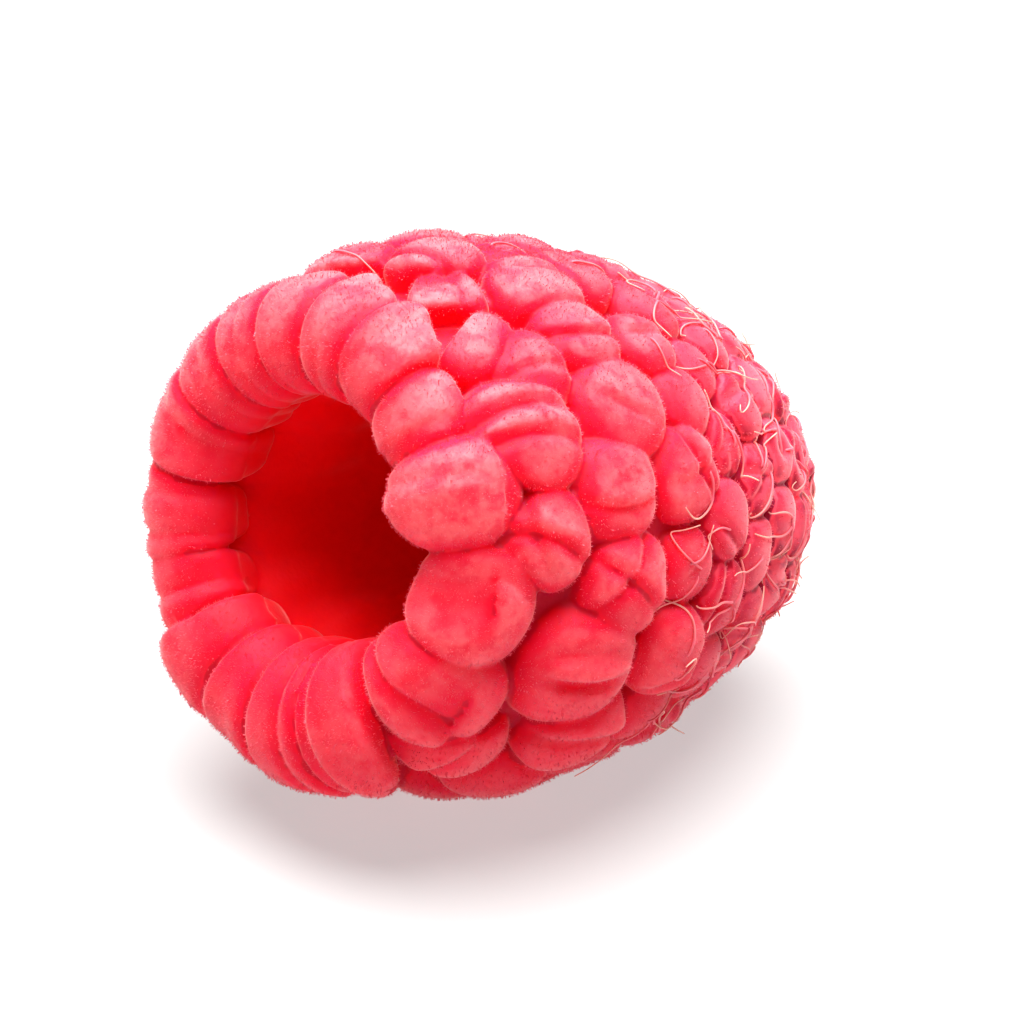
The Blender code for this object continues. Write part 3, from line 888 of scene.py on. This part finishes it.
# The skin is laid on the table where the CAD's berry lies, and pressed flat where it rests
local = points_of(skin_mesh)
lying = np.array(Matrix.Rotation(-math.pi / 2 - LEAN, 3, "X") @ Matrix.Rotation(-TURN, 3, "Z")).T
points = local @ lying
shift = (cad_low + cad_high) / 2 - (points.min(axis=0) + points.max(axis=0)) / 2
shift[2] = cad_low[2] - points[:, 2].min() - PRESSED
points += shift
points[:, 2] = np.maximum(points[:, 2], cad_low[2])
skin_mesh.vertices.foreach_set("co", points.astype(np.float32).ravel())
skin_mesh.update()

# What the skin's colour goes by at each point
edges = edges_of(skin_mesh)
inner, depth = np.hypot(local[:, 0], local[:, 1]), local[:, 2]
inside = (depth > MOUTH_EDGE) & (depth < HOLLOW_END)
bare = share(inner, *BARE_RADIUS) * inside
hollow = share(inner, *HOLLOW_RADIUS) * share(depth, *HOLLOW_DEPTH)
tipward = share(depth, *TIP_DEPTH)
raised = seat.raised(local)
crease = spread(hollowness(skin_mesh), edges, EVEN_ROUNDS) + FOOT_CREASE * share(raised, *FOOT)
curve = spread(np.clip(crease, -1.5, 1.0), edges, SWELL_ROUNDS)
beside = spread(np.clip(crease, 0, 1.0), edges, SWELL_ROUNDS)
# The swell mask: pale down colour, partly a painted highlight on the drupelets' raised tops
swell = SWELL_SHARES[0] * share(curve, *SWELL_CURVE) + SWELL_SHARES[1] * share(beside, *SWELL_BESIDE)
swell *= share(raised, *SWELL_RAISED)
# Painted shade: the pale down colour is thinned on the underside, so the fruit is darker towards the table.
# It is thinned on the mouth's inner edge too
swell *= SHADED_UNDERSIDE_DOWN + (1 - SHADED_UNDERSIDE_DOWN) * share(points[:, 2] - cad_low[2], *PAINTED_SHADE_HEIGHT)
swell *= MOUTH_DOWN + (1 - MOUTH_DOWN) * share(inner, *DOWN_RADIUS)
add_attribute(skin_mesh, "hollow", spread(hollow * inside, edges, EVEN_ROUNDS))
add_attribute(skin_mesh, "tipward", tipward)
add_attribute(skin_mesh, "crease", crease)
add_attribute(skin_mesh, "swell", swell)
skin = new_piece("raspberry_skin", skin_mesh, raspberry_skin())
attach(skin, "root")
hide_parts("raspberry")

# Few hairs grow in the creases and towards the tip
hairless = bare + np.clip(crease * 4, 0, 1) + 0.6 * tipward
down_points, down_faces = down_mesh(skin_mesh, hairless, DOWN_HAIRS)
down = new_piece("raspberry_down", mesh_from("raspberry_down", down_points, down_faces), raspberry_down())
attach(down, "root")

surface = BVHTree.FromPolygons([tuple(p) for p in points], [tuple(p.vertices) for p in skin_mesh.polygons])
tops = seat.point(places[:, 0], places[:, 1], HEIGHT * places[:, 2]) @ lying + shift
threads, thread_faces, thread_outward = style_threads(surface, zip(places[:, 0], tops))
threads_mesh = mesh_from("dried_styles", threads, thread_faces)
add_attribute(threads_mesh, "outward", thread_outward)
styles = new_piece("dried_styles", threads_mesh, dried_style())
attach(styles, "root")

# The table, the light and the camera
TABLE_HALF = 2.0               # in metres, so that its edges are far out of sight
TABLE_GAP = 0.02 * MM          # so that the table and the fruit's flats don't share a plane
table_corners = np.array([[-1, -1, 0], [1, -1, 0], [1, 1, 0], [-1, 1, 0]]) * TABLE_HALF
table_mesh = mesh_from("pale_table", table_corners, np.array([[0, 1, 2, 3]]))
# It shines a little itself, so that it is white but throws no more light on the fruit than a cloth
table_material, tree = new_material("white_table_top")
shader = add_node(tree, "BsdfPrincipled", {
    "Base Color": linear("#8C8B8A"), "Roughness": 0.6, "Emission Color": linear("#FFFFFF"),
    "Emission Strength": 0.44})
add_node(tree, "OutputMaterial", {"Surface": shader.outputs[0]})
table = new_piece("pale_table", table_mesh, table_material)
table.location.z = cad_low[2] - TABLE_GAP
table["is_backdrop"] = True

world = bpy.data.worlds.new("studio")
bpy.context.scene.world = world
world.use_nodes = True
background = world.node_tree.nodes["Background"]
background.inputs["Color"].default_value = linear("#FFFFFF")
background.inputs["Strength"].default_value = 0.08


def direction(azimuth, elevation):
    """The direction from the fruit to something round it: azimuth 0 is in front, 90 on the right."""
    a, e = math.radians(azimuth), math.radians(elevation)
    return Vector((math.sin(a) * math.cos(e), -math.cos(a) * math.cos(e), math.sin(e)))


def soft_light(name, azimuth, elevation, distance, size, power):
    light = bpy.data.lights.new(name, "AREA")
    light.shape = "DISK"
    light.size = size
    light.energy = power
    lamp = bpy.data.objects.new(name, light)
    bpy.context.scene.collection.objects.link(lamp)
    way = direction(azimuth, elevation)
    lamp.location = way * distance
    lamp.rotation_euler = way.to_track_quat("Z", "Y").to_euler()


soft_light("top_softbox", azimuth=225, elevation=83, distance=0.6, size=0.8, power=13.4)

CAMERA_DISTANCE = 0.28
CAMERA_DROP = 1.0 * MM         # it aims this far under the fruit's middle
camera_data = bpy.data.cameras.new("camera")
camera_data.lens = 270
camera_data.clip_start = 0.01
camera = bpy.data.objects.new("camera", camera_data)
bpy.context.scene.collection.objects.link(camera)
way = direction(azimuth=48.5, elevation=27)
aim = Vector((cad_low + cad_high) / 2) - Vector((0, 0, CAMERA_DROP))
camera.location = aim + way * CAMERA_DISTANCE
camera.rotation_euler = way.to_track_quat("Z", "Y").to_euler()
bpy.context.scene.camera = camera
bpy.context.scene.view_settings.view_transform = "Standard"
bpy.context.scene.view_settings.look = "Medium High Contrast"
